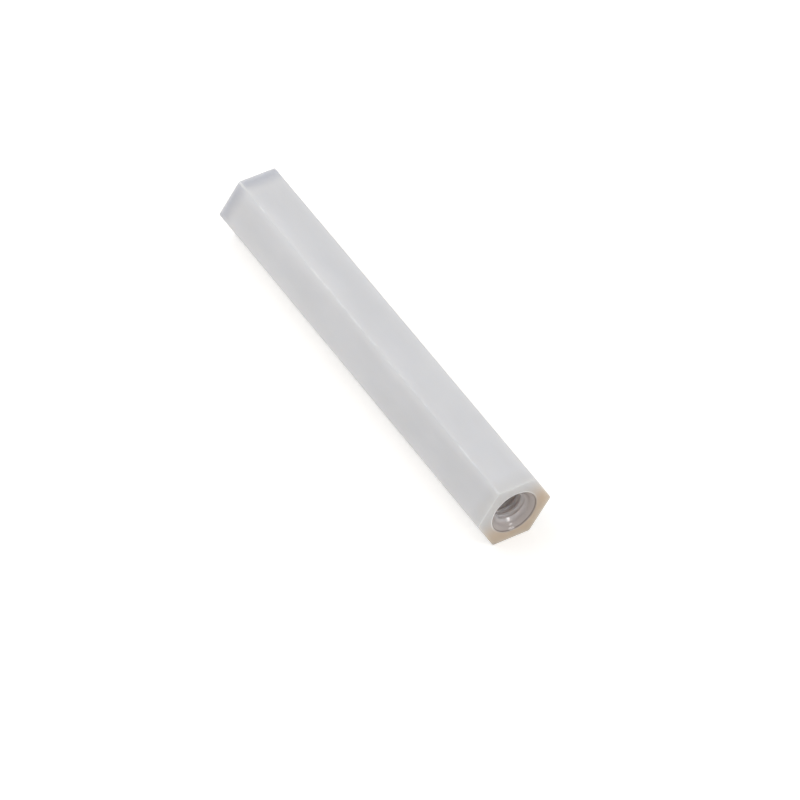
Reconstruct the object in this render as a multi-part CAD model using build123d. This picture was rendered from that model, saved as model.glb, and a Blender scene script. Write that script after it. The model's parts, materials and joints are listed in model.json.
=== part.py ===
from build123d import *
from math import radians, tan
import os

# Hex standoff: a plain hexagonal plastic spacer with a tapped blind hole in each end.
#
# It is one piece, lying on one of its six flats. X runs along the bar, Y across it and Z up.
# The origin is on the surface that it lies on, under the middle of the bar. All sizes are in mm.

# Hexagonal bar
LENGTH = 40.0             # end face to end face, along X
ACROSS_FLATS = 6.0        # between two opposite flats, so also the height as it lies
CORNER_RADIUS = 0.2       # rounding of the six long edges
END_CHAMFER = 0.08        # break of the sharp edge round each end face

# Tapped holes: M3 x 0.5, one in each end, on the bar's axis
THREAD_MAJOR = 3.0        # outer diameter of the thread
TAP_DRILL = 2.5           # diameter of the plain hole that the thread is cut in
HOLE_DEPTH = 12.0         # end face to the bottom of the full diameter
DRILL_POINT_ANGLE = 118.0  # angle of the cone at the bottom of the hole
MOUTH_MARGIN = 0.625      # how far the countersink's rim stands outside the thread, on radius
MOUTH_ANGLE = 90.0        # full angle of the countersink

# The turns of the thread are left out here: the wall is the tap drill's cylinder.
TAP_RADIUS = TAP_DRILL / 2
MOUTH_RADIUS = THREAD_MAJOR / 2 + MOUTH_MARGIN
MOUTH_DEPTH = (MOUTH_RADIUS - TAP_RADIUS) / tan(radians(MOUTH_ANGLE / 2))
POINT_DEPTH = TAP_RADIUS / tan(radians(DRILL_POINT_ANGLE / 2))
AXIS_HEIGHT = ACROSS_FLATS / 2


def hexagonal_bar():
    """The solid bar along X, one flat down, with its long edges rounded and its ends broken."""
    section = RegularPolygon(ACROSS_FLATS / 2, 6, major_radius=False)
    flat_down = Plane(origin=(-LENGTH / 2, 0, AXIS_HEIGHT), x_dir=(0, 1, 0), z_dir=(1, 0, 0))
    bar = extrude(flat_down * section, amount=LENGTH)
    bar = fillet(bar.edges().filter_by(Axis.X), CORNER_RADIUS)
    ends = bar.faces().sort_by(Axis.X)
    rim = ends[0].edges() + ends[-1].edges()
    return chamfer(rim, END_CHAMFER)


def tapped_hole(end):
    """The space of one hole: countersink, drilled cylinder and drill point. end is +1 or -1."""
    outline = Polyline(
        (0, 0),
        (MOUTH_RADIUS, 0),
        (TAP_RADIUS, MOUTH_DEPTH),
        (TAP_RADIUS, HOLE_DEPTH),
        (0, HOLE_DEPTH + POINT_DEPTH),
        close=True,
    )
    into_bar = Plane(origin=(end * LENGTH / 2, 0, AXIS_HEIGHT), x_dir=(0, 0, 1), z_dir=(0, -end, 0))
    return revolve(into_bar * make_face(outline), Axis((0, 0, AXIS_HEIGHT), (1, 0, 0)))


standoff = hexagonal_bar()
for end in (1, -1):
    standoff -= tapped_hole(end)

os.makedirs("parts", exist_ok=True)
export_step(standoff, "parts/standoff.step")
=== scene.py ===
"""Hex standoff: the finished nylon spacer, with its threads cut, on a plain studio floor.

Laid out as an add-on: the sizes and colours are properties, each piece is made by its own operator,
and the panel in the sidebar lists them. All lengths are in metres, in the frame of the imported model:
X along the bar, Z up, and the origin on the floor under the middle of the bar.
"""

import json
from math import cos, pi, radians, sin, tan

import bmesh
import bpy
from mathutils import Matrix, Vector


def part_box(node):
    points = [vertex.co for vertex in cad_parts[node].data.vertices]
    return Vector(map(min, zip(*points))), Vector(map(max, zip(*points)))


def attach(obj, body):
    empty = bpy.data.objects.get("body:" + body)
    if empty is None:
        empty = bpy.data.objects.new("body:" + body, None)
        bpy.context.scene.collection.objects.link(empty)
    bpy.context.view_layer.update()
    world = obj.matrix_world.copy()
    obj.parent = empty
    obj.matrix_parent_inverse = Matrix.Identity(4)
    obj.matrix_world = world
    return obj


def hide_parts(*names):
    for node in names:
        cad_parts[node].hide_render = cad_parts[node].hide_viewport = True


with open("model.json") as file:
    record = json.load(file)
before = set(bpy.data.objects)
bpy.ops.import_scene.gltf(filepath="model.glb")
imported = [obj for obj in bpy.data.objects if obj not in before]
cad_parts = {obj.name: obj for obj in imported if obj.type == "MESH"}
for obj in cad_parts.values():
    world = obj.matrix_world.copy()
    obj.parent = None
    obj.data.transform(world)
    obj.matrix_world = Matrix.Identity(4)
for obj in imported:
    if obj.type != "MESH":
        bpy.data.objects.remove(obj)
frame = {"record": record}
CAD_LOW, CAD_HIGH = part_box("standoff")
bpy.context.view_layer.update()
THREAD_MOUNTS = [m for m in frame["record"]["mounts"] if m["kind"] == "threaded_hole"]

MM = 0.001
BODY = "root"
NODE = "standoff"
LOW_SIDE = Vector((0, sin(pi / 6), -cos(pi / 6)))

bl_info = {
    "name": "Hex Standoff",
    "version": (1, 0, 0),
    "blender": (4, 5, 0),
    "location": "View3D > Sidebar > Standoff",
    "description": "Makes a tapped hexagonal nylon spacer and a plain stage for it",
    "category": "Object",
}


# ------------------------------------------------------------------ properties

class StandoffSizes(bpy.types.PropertyGroup):
    """Sizes of the bar and of its tapped holes."""

    corner_radius: bpy.props.FloatProperty(
        name="Corner radius", description="Rounding of the six long edges",
        default=0.2 * MM, min=0, subtype="DISTANCE", precision=6)
    corner_steps: bpy.props.IntProperty(
        name="Corner steps", description="Facets round each long edge", default=6, min=1)
    end_break: bpy.props.FloatProperty(
        name="End break", description="Width of the broken edge round each end face",
        default=0.08 * MM, min=0, subtype="DISTANCE", precision=6)
    end_steps: bpy.props.IntProperty(
        name="End steps", description="Facets across the broken edge", default=3, min=1)
    thread_radius: bpy.props.FloatProperty(
        name="Thread radius", description="Outer radius of the thread, at its roots",
        default=1.5 * MM, min=0, subtype="DISTANCE", precision=6)
    drill_radius: bpy.props.FloatProperty(
        name="Drill radius", description="Radius of the plain hole, which is left at the thread's crests",
        default=THREAD_MOUNTS[0]["dims"]["r_mm"] * MM, min=0, subtype="DISTANCE", precision=6)
    pitch: bpy.props.FloatProperty(
        name="Pitch", description="Distance from one turn of the thread to the next",
        default=0.5 * MM, min=0, subtype="DISTANCE", precision=6)
    flank_angle: bpy.props.FloatProperty(
        name="Flank angle", description="Full angle between the two flanks of the thread",
        default=radians(60), subtype="ANGLE")
    root_share: bpy.props.FloatProperty(
        name="Root flat", description="Width of the thread's root, as a share of the pitch",
        default=0.125, subtype="FACTOR")
    thread_depth: bpy.props.FloatProperty(
        name="Thread depth", description="End face to the last turn of the thread",
        default=10.0 * MM, min=0, subtype="DISTANCE", precision=6)
    hole_depth: bpy.props.FloatProperty(
        name="Hole depth", description="End face to the bottom of the full diameter",
        default=12.0 * MM, min=0, subtype="DISTANCE", precision=6)
    point_angle: bpy.props.FloatProperty(
        name="Point angle", description="Full angle of the cone at the bottom of the hole",
        default=radians(118), subtype="ANGLE")
    mouth_margin: bpy.props.FloatProperty(
        name="Mouth margin", description="How far the countersink's rim stands outside the thread",
        default=0.625 * MM, min=0, subtype="DISTANCE", precision=6)
    mouth_angle: bpy.props.FloatProperty(
        name="Mouth angle", description="Full angle of the countersink",
        default=radians(90), subtype="ANGLE")
    turn_steps: bpy.props.IntProperty(
        name="Steps in a turn", description="Facets round each hole", default=96, min=12)


class NylonLook(bpy.types.PropertyGroup):
    """Colour and finish of the nylon."""

    colour: bpy.props.FloatVectorProperty(
        name="Colour", description="Natural white nylon", subtype="COLOR",
        default=(0.70, 0.703, 0.72), min=0, max=1)
    # Partly clearer nylon and partly painted shade: a darker, bluer tint close to the -X end, from light
    # passing through the translucent end.
    cool_nylon_and_shade_colour: bpy.props.FloatVectorProperty(
        name="Cool colour", description="The clearer nylon close to the -X end", subtype="COLOR",
        default=(0.47, 0.487, 0.54), min=0, max=1)
    # Partly clearer nylon and partly painted shade: a darker grey close to the +X end.
    clear_nylon_and_shade_colour: bpy.props.FloatVectorProperty(
        name="Clear colour", description="The clearer nylon close to the +X end", subtype="COLOR",
        default=(0.62, 0.62, 0.625), min=0, max=1)
    # Painted warm shade: the low side of the +X end, turned from the lamps, with warm light reflected from
    # below painted in.
    warm_shade_colour: bpy.props.FloatVectorProperty(
        name="Aged colour", description="The side of the +X end face that has turned tan", subtype="COLOR",
        default=(0.58, 0.48, 0.385), min=0, max=1)
    # Painted shadow: a dark line just inside the rim of each hole, on the low side only.
    rim_shadow_colour: bpy.props.FloatVectorProperty(
        name="Burr colour", description="The dull line just inside the rim of a hole", subtype="COLOR",
        default=(0.20, 0.16, 0.14), min=0, max=1)
    # Painted shade: the countersinks are darker than the nylon, as a shaded recess is.
    countersink_shade_colour: bpy.props.FloatVectorProperty(
        name="Bore colour", description="The nylon round the tapped holes", subtype="COLOR",
        default=(0.50, 0.455, 0.44), min=0, max=1)
    # Painted highlight: a bright line just outside the rim of each hole, away from the low side.
    rim_highlight_colour: bpy.props.FloatVectorProperty(
        name="Lip colour", description="The bright line just outside the rim of a hole", subtype="COLOR",
        default=(0.92, 0.92, 0.92), min=0, max=1)
    worn_colour: bpy.props.FloatVectorProperty(
        name="Worn colour", description="The dull stretches of the long edges", subtype="COLOR",
        default=(0.65, 0.654, 0.67), min=0, max=1)
    thread_colour: bpy.props.FloatVectorProperty(
        name="Thread colour", description="The clearer nylon of the thread's turns", subtype="COLOR",
        default=(0.72, 0.685, 0.68), min=0, max=1)
    # The reach of the darker ends, which are partly clearer nylon and partly painted shade.
    end_reach: bpy.props.FloatProperty(
        name="End reach", description="How far the clearer nylon reaches in from an end face",
        default=1.8 * MM, min=0, subtype="DISTANCE", precision=6)
    cloud_size: bpy.props.FloatProperty(
        name="Cloud size", description="Size of the faint cloudy patches in the nylon",
        default=2.2 * MM, min=0, subtype="DISTANCE", precision=6)
    cloud_share: bpy.props.FloatProperty(
        name="Cloudiness", description="How much darker the patches are", default=0.035, subtype="FACTOR")
    grain_size: bpy.props.FloatProperty(
        name="Grain size", description="Width of the fine drawn lines along the bar",
        default=0.16 * MM, min=0, subtype="DISTANCE", precision=6)
    grain_height: bpy.props.FloatProperty(
        name="Grain height", description="Height of the drawn lines and of the fine pits",
        default=0.006 * MM, min=0, subtype="DISTANCE", precision=6)
    ring_height: bpy.props.FloatProperty(
        name="Ring height", description="Height of the tool's rings in the countersinks",
        default=0.014 * MM, min=0, subtype="DISTANCE", precision=6)
    roughness: bpy.props.FloatProperty(
        name="Roughness", description="Roughness of the drawn flats", default=0.42, subtype="FACTOR")
    edge_roughness: bpy.props.FloatProperty(
        name="Edge roughness", description="Roughness of the bright rubbed spots on the long edges",
        default=0.2, subtype="FACTOR")
    sawn_roughness: bpy.props.FloatProperty(
        name="Sawn roughness", description="Roughness of the sawn end faces", default=0.75,
        subtype="FACTOR")
    bore_roughness: bpy.props.FloatProperty(
        name="Bore roughness", description="Roughness of the cut surfaces in the holes",
        default=0.2, subtype="FACTOR")
    scatter_radius: bpy.props.FloatProperty(
        name="Scatter radius", description="How far light spreads inside the nylon",
        default=2.2 * MM, min=0, subtype="DISTANCE", precision=6)


class StageLook(bpy.types.PropertyGroup):
    """Floor, lamps and camera."""

    floor_side: bpy.props.FloatProperty(
        name="Floor side", description="Length of each side of the floor",
        default=6.0, subtype="DISTANCE")
    floor_colour: bpy.props.FloatVectorProperty(
        name="Floor colour", description="Pale floor, as the bar sees it", subtype="COLOR",
        default=(0.80, 0.78, 0.75), min=0, max=1)
    floor_lift: bpy.props.FloatProperty(
        name="Floor lift", description="How much whiter the floor is to the eye", default=0.46, min=0)
    world_strength: bpy.props.FloatProperty(
        name="World strength", description="Plain light from all round", default=0.62, min=0)
    backdrop_strength: bpy.props.FloatProperty(
        name="Backdrop strength", description="The world as the eye sees it, like the far floor",
        default=0.95, min=0)
    camera_distance: bpy.props.FloatProperty(
        name="Camera distance", description="Camera to the point it looks at",
        default=0.519, subtype="DISTANCE")
    camera_azimuth: bpy.props.FloatProperty(
        name="Camera azimuth", description="0 looks along +Y and 90 along -X",
        default=radians(53.73), subtype="ANGLE")
    camera_elevation: bpy.props.FloatProperty(
        name="Camera elevation", description="Height above the horizon",
        default=radians(46.02), subtype="ANGLE")
    camera_roll: bpy.props.FloatProperty(
        name="Camera roll", description="Turn of the camera about its own axis",
        default=radians(5.89), subtype="ANGLE")
    camera_aim: bpy.props.FloatVectorProperty(
        name="Camera aim", description="Point that the camera looks at",
        default=(3.22 * MM, -0.05 * MM, 0.47 * MM), subtype="XYZ_LENGTH")
    lens: bpy.props.FloatProperty(
        name="Lens", description="Focal length in millimetres", default=287.5, min=1)


# ------------------------------------------------------------------ small tools

def clear_selection():
    """Leave edit mode and select nothing."""
    if bpy.context.mode != "OBJECT":
        bpy.ops.object.mode_set(mode="OBJECT")
    bpy.ops.object.select_all(action="DESELECT")


def make_active(obj):
    """Select one object only and make it the active one."""
    clear_selection()
    obj.select_set(True)
    bpy.context.view_layer.objects.active = obj


def select_in_edit(obj, mode, test):
    """Enter edit mode with just the elements selected that pass the test."""
    make_active(obj)
    bpy.ops.object.mode_set(mode="EDIT")
    bpy.ops.mesh.select_mode(type=mode)
    bpy.ops.mesh.select_all(action="DESELECT")
    mesh = bmesh.from_edit_mesh(obj.data)
    elements = {"VERT": mesh.verts, "EDGE": mesh.edges, "FACE": mesh.faces}[mode]
    for element in elements:
        if test(element):
            element.select_set(True)
    mesh.select_flush_mode()
    bmesh.update_edit_mesh(obj.data)


def leave_edit():
    bpy.ops.object.mode_set(mode="OBJECT")


def apply_place(obj):
    """Put the object's place into its mesh, so that the object sits at the origin."""
    make_active(obj)
    bpy.ops.object.transform_apply(location=True, rotation=True, scale=True)


def add_outline(name, points):
    """An open line of edges through the points, drawn as by hand: one vertex, then extrusions."""
    clear_selection()
    bpy.ops.mesh.primitive_plane_add(size=1, location=(0, 0, 0))
    line = bpy.context.object
    line.name = name
    bpy.ops.object.mode_set(mode="EDIT")
    bpy.ops.mesh.select_mode(type="VERT")
    bpy.ops.mesh.select_all(action="SELECT")
    bpy.ops.mesh.merge(type="CENTER")
    bpy.ops.transform.translate(value=points[0])
    for last, point in zip(points, points[1:]):
        step = Vector(point) - Vector(last)
        bpy.ops.mesh.extrude_region_move(TRANSFORM_OT_translate={"value": step})
    leave_edit()
    return line


def cut_away(target, tool):
    """Cut the tool's shape out of the target, and remove the tool."""
    make_active(target)
    cut = target.modifiers.new("Cut", "BOOLEAN")
    cut.operation = "DIFFERENCE"
    cut.solver = "EXACT"
    cut.object = tool
    bpy.ops.object.modifier_apply(modifier=cut.name)
    bpy.data.objects.remove(tool)


# ------------------------------------------------------------------ the bar

def add_bar(sizes):
    """The hexagonal bar lying on a flat, with rounded long edges and broken ends."""
    length = CAD_HIGH.x - CAD_LOW.x
    across_flats = CAD_HIGH.z - CAD_LOW.z
    centre = (CAD_LOW + CAD_HIGH) / 2
    clear_selection()
    bpy.ops.mesh.primitive_cylinder_add(
        vertices=6, radius=across_flats / 2 / cos(pi / 6), depth=length,
        location=centre, rotation=(0, pi / 2, 0))
    bar = bpy.context.object
    bar.name = "hex_bar"
    apply_place(bar)
    if max(v.co.z for v in bar.data.vertices) > CAD_HIGH.z + across_flats * 0.01:
        select_in_edit(bar, "VERT", lambda v: True)
        bpy.ops.transform.rotate(value=pi / 6, orient_axis="X", center_override=centre)
        leave_edit()

    def is_long(edge):
        return abs(edge.verts[0].co.x - edge.verts[1].co.x) > length / 2

    # The rounding takes the same length off both flats: radius times tan of half the turn.
    select_in_edit(bar, "EDGE", is_long)
    bpy.ops.mesh.bevel(
        offset=sizes.corner_radius * tan(pi / 6), segments=sizes.corner_steps, profile=0.5)
    leave_edit()

    def is_rim(edge):
        ends = [v.co.x for v in edge.verts]
        on_end = abs(ends[0] - ends[1]) < length * 1e-4 and abs(abs(ends[0]) - length / 2) < length * 1e-4
        return on_end and any(len(f.verts) > 4 for f in edge.link_faces)

    select_in_edit(bar, "EDGE", is_rim)
    bpy.ops.mesh.bevel(offset=sizes.end_break, segments=sizes.end_steps, profile=0.5)
    leave_edit()
    return bar


# ------------------------------------------------------------------ the tapped holes

def add_drilling(sizes, end_x, height):
    """The countersink, the drilled hole and its point, as one solid to cut away."""
    over = sizes.end_break
    mouth_radius = sizes.thread_radius + sizes.mouth_margin
    slope = tan(sizes.mouth_angle / 2)
    mouth_depth = (mouth_radius - sizes.drill_radius) / slope
    point_depth = sizes.drill_radius / tan(sizes.point_angle / 2)
    outline = [
        (end_x + over, 0, height),
        (end_x + over, 0, height + mouth_radius + over * slope),
        (end_x - mouth_depth, 0, height + sizes.drill_radius),
        (end_x - sizes.hole_depth, 0, height + sizes.drill_radius),
        (end_x - sizes.hole_depth - point_depth, 0, height),
    ]
    tool = add_outline("drilling", outline)
    select_in_edit(tool, "EDGE", lambda e: True)
    bpy.ops.mesh.spin(
        steps=sizes.turn_steps, angle=2 * pi, center=(end_x, 0, height), axis=(1, 0, 0))
    bpy.ops.mesh.select_all(action="SELECT")
    bpy.ops.mesh.remove_doubles(threshold=1e-7)
    bpy.ops.mesh.normals_make_consistent(inside=False)
    leave_edit()
    return tool


def thread_profile(sizes, end_x, height):
    """One pitch of the tap's edge: a crest, a flank, a root and the other flank."""
    root = sizes.pitch * sizes.root_share
    flank = (sizes.thread_radius - sizes.drill_radius) * tan(sizes.flank_angle / 2)
    crest = sizes.pitch - root - 2 * flank
    outer = height + sizes.thread_radius
    # The tap's core is a hair inside the drilled wall, so the two never share a surface.
    inner = height + sizes.drill_radius * 0.98
    start = end_x - sizes.thread_depth - sizes.pitch
    places = [0, crest, crest + flank, crest + flank + root, sizes.pitch]
    return [(start + x, 0, z) for x, z in zip(places, [inner, inner, outer, outer, inner])]


def add_tap(sizes, end_x, height):
    """The tap: a right-hand screw of the thread's own form, cut square at both ends."""
    tap = add_outline("tap", thread_profile(sizes, end_x, height))
    turns = int(sizes.thread_depth / sizes.pitch) + 3
    make_active(tap)
    bpy.context.scene.cursor.location = (end_x, 0, height)
    bpy.ops.object.origin_set(type="ORIGIN_CURSOR")
    screw = tap.modifiers.new("Screw", "SCREW")
    screw.axis = "X"
    screw.angle = 2 * pi
    screw.screw_offset = sizes.pitch
    screw.iterations = turns
    screw.steps = sizes.turn_steps
    screw.render_steps = sizes.turn_steps
    screw.use_merge_vertices = True
    screw.merge_threshold = 1e-6
    bpy.ops.object.modifier_apply(modifier=screw.name)
    apply_place(tap)
    bpy.context.scene.cursor.location = (0, 0, 0)
    for plane_x, clear_outer in ((end_x + sizes.pitch / 2, True), (end_x - sizes.thread_depth, False)):
        select_in_edit(tap, "FACE", lambda f: True)
        bpy.ops.mesh.bisect(
            plane_co=(plane_x, 0, height), plane_no=(1, 0, 0), use_fill=True,
            clear_outer=clear_outer, clear_inner=not clear_outer, threshold=1e-7)
        leave_edit()
    select_in_edit(tap, "FACE", lambda f: True)
    bpy.ops.mesh.remove_doubles(threshold=2e-7)
    bpy.ops.mesh.normals_make_consistent(inside=False)
    leave_edit()
    return tap


def for_both_ends(tool, height):
    """Join to a cutting tool its copy for the other end, turned half round about Z."""
    copy = tool.copy()
    copy.data = tool.data.copy()
    bpy.context.collection.objects.link(copy)
    make_active(copy)
    bpy.ops.transform.rotate(value=pi, orient_axis="Z", center_override=(0, 0, height))
    apply_place(copy)
    make_active(tool)
    copy.select_set(True)
    bpy.ops.object.join()
    return tool


def open_edges(obj):
    """How many edges don't join exactly two faces."""
    mesh = bmesh.new()
    mesh.from_mesh(obj.data)
    count = sum(1 for e in mesh.edges if len(e.link_faces) != 2)
    mesh.free()
    return count


class STANDOFF_OT_bar(bpy.types.Operator):
    """Make the standoff: the bar, its two drilled holes and their threads"""

    bl_idname = "standoff.bar"
    bl_label = "Make the Standoff"

    def execute(self, context):
        sizes = context.scene.standoff_sizes
        height = (CAD_LOW.z + CAD_HIGH.z) / 2
        bar = add_bar(sizes)
        for make_tool in (add_drilling, add_tap):
            cut_away(bar, for_both_ends(make_tool(sizes, CAD_HIGH.x, height), height))
        bar.name = "standoff_bar"
        bar.data.name = bar.name
        make_active(bar)
        bpy.ops.object.shade_smooth_by_angle(angle=radians(25))
        bar.data.materials.clear()
        bar.data.materials.append(nylon(context.scene.nylon_look, sizes))
        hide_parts(NODE)
        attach(bar, BODY)
        gaps = open_edges(bar)
        print("bar faces", len(bar.data.polygons), "open edges", gaps)
        if gaps:
            raise RuntimeError("the standoff's mesh isn't closed")
        return {"FINISHED"}


# ------------------------------------------------------------------ the nylon

def add_math(nodes, links, operation, first, second):
    """A Math node; each value is a number or another node's output."""
    node = nodes.new("ShaderNodeMath")
    node.operation = operation
    for socket, value in zip(node.inputs, (first, second)):
        if isinstance(value, bpy.types.NodeSocket):
            links.new(value, socket)
        else:
            socket.default_value = value
    return node.outputs[0]


def add_ramp(nodes, links, value, low, high, to_low=0.0, to_high=1.0):
    """Go smoothly from one number to another while the value goes from low to high."""
    node = nodes.new("ShaderNodeMapRange")
    node.interpolation_type = "SMOOTHSTEP"
    links.new(value, node.inputs["Value"])
    node.inputs["From Min"].default_value = low
    node.inputs["From Max"].default_value = high
    node.inputs["To Min"].default_value = to_low
    node.inputs["To Max"].default_value = to_high
    return node.outputs[0]


def add_mix(nodes, links, mask, first, second):
    """Mix two colours by a mask; each is a plain colour or another node's output."""
    node = nodes.new("ShaderNodeMix")
    node.data_type = "RGBA"
    links.new(mask, node.inputs["Factor"])
    for name, value in (("A", first), ("B", second)):
        socket = next(i for i in node.inputs if i.name == name and i.type == "RGBA")
        if isinstance(value, bpy.types.NodeSocket):
            links.new(value, socket)
        else:
            socket.default_value = (*value, 1)
    return next(o for o in node.outputs if o.type == "RGBA")


def add_noise(nodes, links, place, stretch, size, detail):
    """Noise whose patches have the given size, drawn out along the bar by the stretch."""
    mapping = nodes.new("ShaderNodeMapping")
    mapping.inputs["Scale"].default_value = (1 / stretch, 1, 1)
    links.new(place, mapping.inputs["Vector"])
    noise = nodes.new("ShaderNodeTexNoise")
    noise.inputs["Scale"].default_value = 1 / size
    noise.inputs["Detail"].default_value = detail
    links.new(mapping.outputs[0], noise.inputs["Vector"])
    return noise.outputs["Fac"]


def nylon(look, sizes):
    """Natural white nylon: slightly translucent, cloudy inside, with the drawn grain of the bar."""
    material = bpy.data.materials.new("natural_nylon")
    material.use_nodes = True
    nodes, links = material.node_tree.nodes, material.node_tree.links
    shader = nodes["Principled BSDF"]
    shader.inputs["Subsurface Weight"].default_value = 1.0
    shader.inputs["Subsurface Radius"].default_value = (1.0, 0.94, 0.86)
    shader.inputs["Subsurface Scale"].default_value = look.scatter_radius
    shader.inputs["IOR"].default_value = 1.53

    place = nodes.new("ShaderNodeTexCoord").outputs["Object"]
    parts = nodes.new("ShaderNodeSeparateXYZ")
    links.new(place, parts.inputs[0])
    along = add_math(nodes, links, "ABSOLUTE", parts.outputs["X"], 0.0)
    above = add_math(nodes, links, "SUBTRACT", parts.outputs["Z"], (CAD_LOW.z + CAD_HIGH.z) / 2)
    across = nodes.new("ShaderNodeCombineXYZ")
    links.new(parts.outputs["Y"], across.inputs["Y"])
    links.new(above, across.inputs["Z"])
    from_axis = nodes.new("ShaderNodeVectorMath")
    from_axis.operation = "LENGTH"
    links.new(across.outputs[0], from_axis.inputs[0])
    radius = from_axis.outputs["Value"]

    # Masks: 1 close to an end, on the low side, on the rubbed edges, in the holes and at their rims.
    near_end = add_ramp(nodes, links, along, CAD_HIGH.x - look.end_reach, CAD_HIGH.x)
    on_end_face = add_ramp(nodes, links, along, CAD_HIGH.x - 3 * sizes.end_break, CAD_HIGH.x - sizes.end_break)
    on_plus_end = add_ramp(nodes, links, parts.outputs["X"], CAD_HIGH.x - 2 * sizes.end_break, CAD_HIGH.x)
    sideways = add_math(nodes, links, "MULTIPLY", parts.outputs["Y"], LOW_SIDE.y)
    low_side = add_math(
        nodes, links, "ADD", sideways, add_math(nodes, links, "MULTIPLY", above, LOW_SIDE.z))
    low_side = add_ramp(nodes, links, low_side, -1.8 * MM, 1.0 * MM)
    edge = add_ramp(
        nodes, links, radius, CAD_HIGH.y - sizes.corner_radius * 0.16,
        CAD_HIGH.y - sizes.corner_radius * 0.08)
    mouth_radius = sizes.thread_radius + sizes.mouth_margin
    bore = add_ramp(nodes, links, radius, mouth_radius + 0.03 * MM, mouth_radius - 0.10 * MM)
    cone = add_ramp(
        nodes, links, radius, sizes.thread_radius - 0.15 * MM, sizes.thread_radius + 0.2 * MM)
    cone = add_math(nodes, links, "MULTIPLY", cone, bore)
    # Painted shadow line just inside each rim, on the low side only.
    rim_shadow = add_ramp(nodes, links, radius, mouth_radius - 0.15 * MM, mouth_radius - 0.07 * MM)
    rim_shadow = add_math(nodes, links, "MULTIPLY", rim_shadow, bore)
    rim_shadow = add_math(nodes, links, "MULTIPLY", rim_shadow, low_side)
    # Painted highlight just outside each rim, away from the low side, on the end faces.
    rim_highlight = add_ramp(nodes, links, radius, mouth_radius + 0.09 * MM, mouth_radius + 0.05 * MM)
    rim_highlight = add_math(nodes, links, "MULTIPLY", rim_highlight, add_math(nodes, links, "SUBTRACT", 1.0, low_side))
    rim_highlight = add_math(nodes, links, "MULTIPLY", rim_highlight, on_end_face)
    wear = add_noise(nodes, links, place, 5.0, look.grain_size * 2.5, 4.0)
    worn = add_math(nodes, links, "MULTIPLY", edge, add_ramp(nodes, links, wear, 0.62, 0.50))

    # Colour: cloudy patches; at the ends partly clearer nylon and partly painted shade; painted warm shade on
    # one side of the +X end; painted shade greying the countersinks, a painted shadow line inside each rim and
    # a painted highlight outside it.
    clouds = add_ramp(
        nodes, links, add_noise(nodes, links, place, 3.0, look.cloud_size, 3.0), 0.35, 0.65,
        1.0 - look.cloud_share, 1.0)
    # Close to each end: partly clearer nylon and partly painted shade, bluer at -X and greyer at +X.
    which_end = add_ramp(nodes, links, parts.outputs["X"], CAD_LOW.x / 2, CAD_HIGH.x / 2)
    end_colour = add_mix(nodes, links, which_end, look.cool_nylon_and_shade_colour, look.clear_nylon_and_shade_colour)
    body = add_mix(nodes, links, near_end, look.colour, end_colour)
    # Painted warm shade with reflected light on the low side of the +X end.
    warm_shade = add_math(nodes, links, "MULTIPLY", on_plus_end, low_side)
    body = add_mix(nodes, links, warm_shade, body, look.warm_shade_colour)
    # Painted shade on the countersinks; the thread's turns keep the thread colour.
    hole = add_mix(nodes, links, cone, look.thread_colour, look.countersink_shade_colour)
    body = add_mix(nodes, links, worn, body, look.worn_colour)
    body = add_mix(nodes, links, rim_highlight, body, look.rim_highlight_colour)
    body = add_mix(nodes, links, bore, body, hole)
    body = add_mix(nodes, links, rim_shadow, body, look.rim_shadow_colour)
    tint = nodes.new("ShaderNodeVectorMath")
    tint.operation = "SCALE"
    links.new(body, tint.inputs[0])
    links.new(clouds, tint.inputs["Scale"])
    links.new(tint.outputs[0], shader.inputs["Base Color"])

    # Roughness: satin flats with faint drawn lines, brighter on the edges and in the holes.
    grain = add_noise(nodes, links, place, 14.0, look.grain_size, 3.0)
    flats = add_ramp(
        nodes, links, grain, 0.3, 0.7, look.roughness - 0.08, look.roughness + 0.08)
    rubbed = add_ramp(nodes, links, wear, 0.50, 0.62, look.sawn_roughness, look.edge_roughness)
    finish = nodes.new("ShaderNodeMix")
    links.new(edge, finish.inputs["Factor"])
    links.new(flats, finish.inputs["A"])
    links.new(rubbed, finish.inputs["B"])
    sawn = nodes.new("ShaderNodeMix")
    links.new(on_end_face, sawn.inputs["Factor"])
    links.new(finish.outputs[0], sawn.inputs["A"])
    sawn.inputs["B"].default_value = look.sawn_roughness
    cut = nodes.new("ShaderNodeMix")
    links.new(bore, cut.inputs["Factor"])
    links.new(sawn.outputs[0], cut.inputs["A"])
    cut.inputs["B"].default_value = look.bore_roughness
    links.new(cut.outputs[0], shader.inputs["Roughness"])

    # Bump: the drawn lines, small pits that break up the highlights, and the tool's rings.
    pits = add_noise(nodes, links, place, 1.5, look.grain_size * 1.8, 2.0)
    height = add_math(nodes, links, "ADD", grain, pits)
    bump = nodes.new("ShaderNodeBump")
    bump.inputs["Distance"].default_value = look.grain_height
    links.new(height, bump.inputs["Height"])
    turns = add_math(nodes, links, "MULTIPLY", along, 2 * pi / sizes.pitch)
    waves = add_math(nodes, links, "SINE", turns, 0.0)
    chatter = add_noise(nodes, links, place, 0.5, look.grain_size * 2, 3.0)
    waves = add_math(nodes, links, "ADD", waves, add_math(nodes, links, "MULTIPLY", chatter, 2.5))
    ring = add_math(nodes, links, "MULTIPLY", waves, cone)
    rings = nodes.new("ShaderNodeBump")
    rings.inputs["Distance"].default_value = look.ring_height
    links.new(ring, rings.inputs["Height"])
    links.new(bump.outputs[0], rings.inputs["Normal"])
    links.new(rings.outputs[0], shader.inputs["Normal"])
    return material


# ------------------------------------------------------------------ the stage

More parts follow.
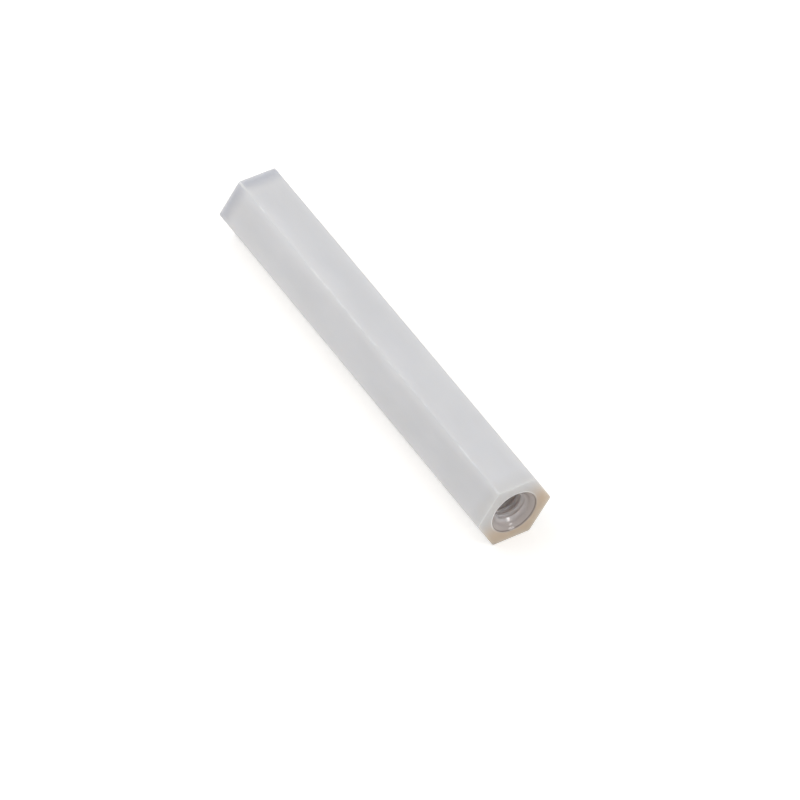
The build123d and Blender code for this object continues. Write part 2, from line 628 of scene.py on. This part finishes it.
def seen_by_eye(nodes, links):
    """1 for what the camera sees, straight, mirrored or through something clear, and 0 for light."""
    path = nodes.new("ShaderNodeLightPath")
    seen = add_math(
        nodes, links, "MAXIMUM", path.outputs["Is Camera Ray"], path.outputs["Is Glossy Ray"])
    return add_math(nodes, links, "MAXIMUM", seen, path.outputs["Is Transmission Ray"])


def add_floor(look):
    clear_selection()
    bpy.ops.mesh.primitive_plane_add(size=look.floor_side, location=(0, 0, CAD_LOW.z))
    floor = bpy.context.object
    floor.name = "floor"
    apply_place(floor)
    material = bpy.data.materials.new("pale_floor")
    material.use_nodes = True
    nodes, links = material.node_tree.nodes, material.node_tree.links
    diffuse = nodes["Principled BSDF"]
    diffuse.inputs["Base Color"].default_value = (*look.floor_colour, 1)
    diffuse.inputs["Roughness"].default_value = 0.9
    diffuse.inputs["Specular IOR Level"].default_value = 0.0
    glow = nodes.new("ShaderNodeEmission")
    lift = add_math(nodes, links, "MULTIPLY", seen_by_eye(nodes, links), look.floor_lift)
    links.new(lift, glow.inputs["Strength"])
    both = nodes.new("ShaderNodeAddShader")
    links.new(diffuse.outputs[0], both.inputs[0])
    links.new(glow.outputs[0], both.inputs[1])
    links.new(both.outputs[0], nodes["Material Output"].inputs["Surface"])
    floor.data.materials.append(material)
    return floor


def add_world(look):
    world = bpy.data.worlds.new("studio_world")
    bpy.context.scene.world = world
    world.use_nodes = True
    nodes, links = world.node_tree.nodes, world.node_tree.links
    strength = nodes.new("ShaderNodeMapRange")
    strength.inputs["To Min"].default_value = look.world_strength
    strength.inputs["To Max"].default_value = look.backdrop_strength
    links.new(seen_by_eye(nodes, links), strength.inputs["Value"])
    background = nodes["Background"]
    background.inputs["Color"].default_value = (1, 1, 1, 1)
    links.new(strength.outputs[0], background.inputs["Strength"])


def add_lamp(name, place, size, power):
    """A soft square lamp that faces the bar."""
    clear_selection()
    facing = (-Vector(place)).to_track_quat("-Z", "Y").to_euler()
    bpy.ops.object.light_add(type="AREA", location=place, rotation=facing)
    lamp = bpy.context.object
    lamp.name = name
    lamp.data.size = size
    lamp.data.energy = power
    return lamp


def add_camera(look):
    back = Vector((
        sin(look.camera_azimuth) * cos(look.camera_elevation),
        -cos(look.camera_azimuth) * cos(look.camera_elevation),
        sin(look.camera_elevation)))
    turn = (-back).to_track_quat("-Z", "Y").to_matrix() @ Matrix.Rotation(look.camera_roll, 3, "Z")
    clear_selection()
    bpy.ops.object.camera_add(
        location=Vector(look.camera_aim) + back * look.camera_distance, rotation=turn.to_euler())
    camera = bpy.context.object
    camera.name = "camera"
    camera.data.lens = look.lens
    camera.data.clip_start = 0.01
    camera.data.clip_end = 20
    bpy.context.scene.camera = camera
    return camera


class STANDOFF_OT_stage(bpy.types.Operator):
    """Make the pale floor, the soft lamps and the camera"""

    bl_idname = "standoff.stage"
    bl_label = "Make the Stage"

    def execute(self, context):
        look = context.scene.stage_look
        add_floor(look)
        add_world(look)
        add_lamp("key_lamp", (-0.23, -0.17, 0.32), 0.44, 0.72)
        add_lamp("fill_lamp", (0.36, 0.20, 0.28), 0.08, 0.4)
        add_camera(look)
        context.scene.view_settings.view_transform = "Standard"
        return {"FINISHED"}


# ------------------------------------------------------------------ panel and main

class STANDOFF_PT_panel(bpy.types.Panel):
    """Sizes, colours and the operators that make the standoff"""

    bl_idname = "STANDOFF_PT_panel"
    bl_label = "Hex Standoff"
    bl_space_type = "VIEW_3D"
    bl_region_type = "UI"
    bl_category = "Standoff"

    def draw(self, context):
        layout = self.layout
        for group in ("standoff_sizes", "nylon_look", "stage_look"):
            settings = getattr(context.scene, group)
            box = layout.box()
            for name in settings.__annotations__:
                box.prop(settings, name)
        layout.operator(STANDOFF_OT_bar.bl_idname)
        layout.operator(STANDOFF_OT_stage.bl_idname)


CLASSES = (
    StandoffSizes, NylonLook, StageLook, STANDOFF_OT_bar, STANDOFF_OT_stage, STANDOFF_PT_panel)


def register():
    for cls in CLASSES:
        bpy.utils.register_class(cls)
    bpy.types.Scene.standoff_sizes = bpy.props.PointerProperty(type=StandoffSizes)
    bpy.types.Scene.nylon_look = bpy.props.PointerProperty(type=NylonLook)
    bpy.types.Scene.stage_look = bpy.props.PointerProperty(type=StageLook)


def unregister():
    del bpy.types.Scene.stage_look
    del bpy.types.Scene.nylon_look
    del bpy.types.Scene.standoff_sizes
    for cls in reversed(CLASSES):
        bpy.utils.unregister_class(cls)


def main():
    register()
    bpy.ops.standoff.bar()
    bpy.ops.standoff.stage()


if __name__ == "__main__":
    main()
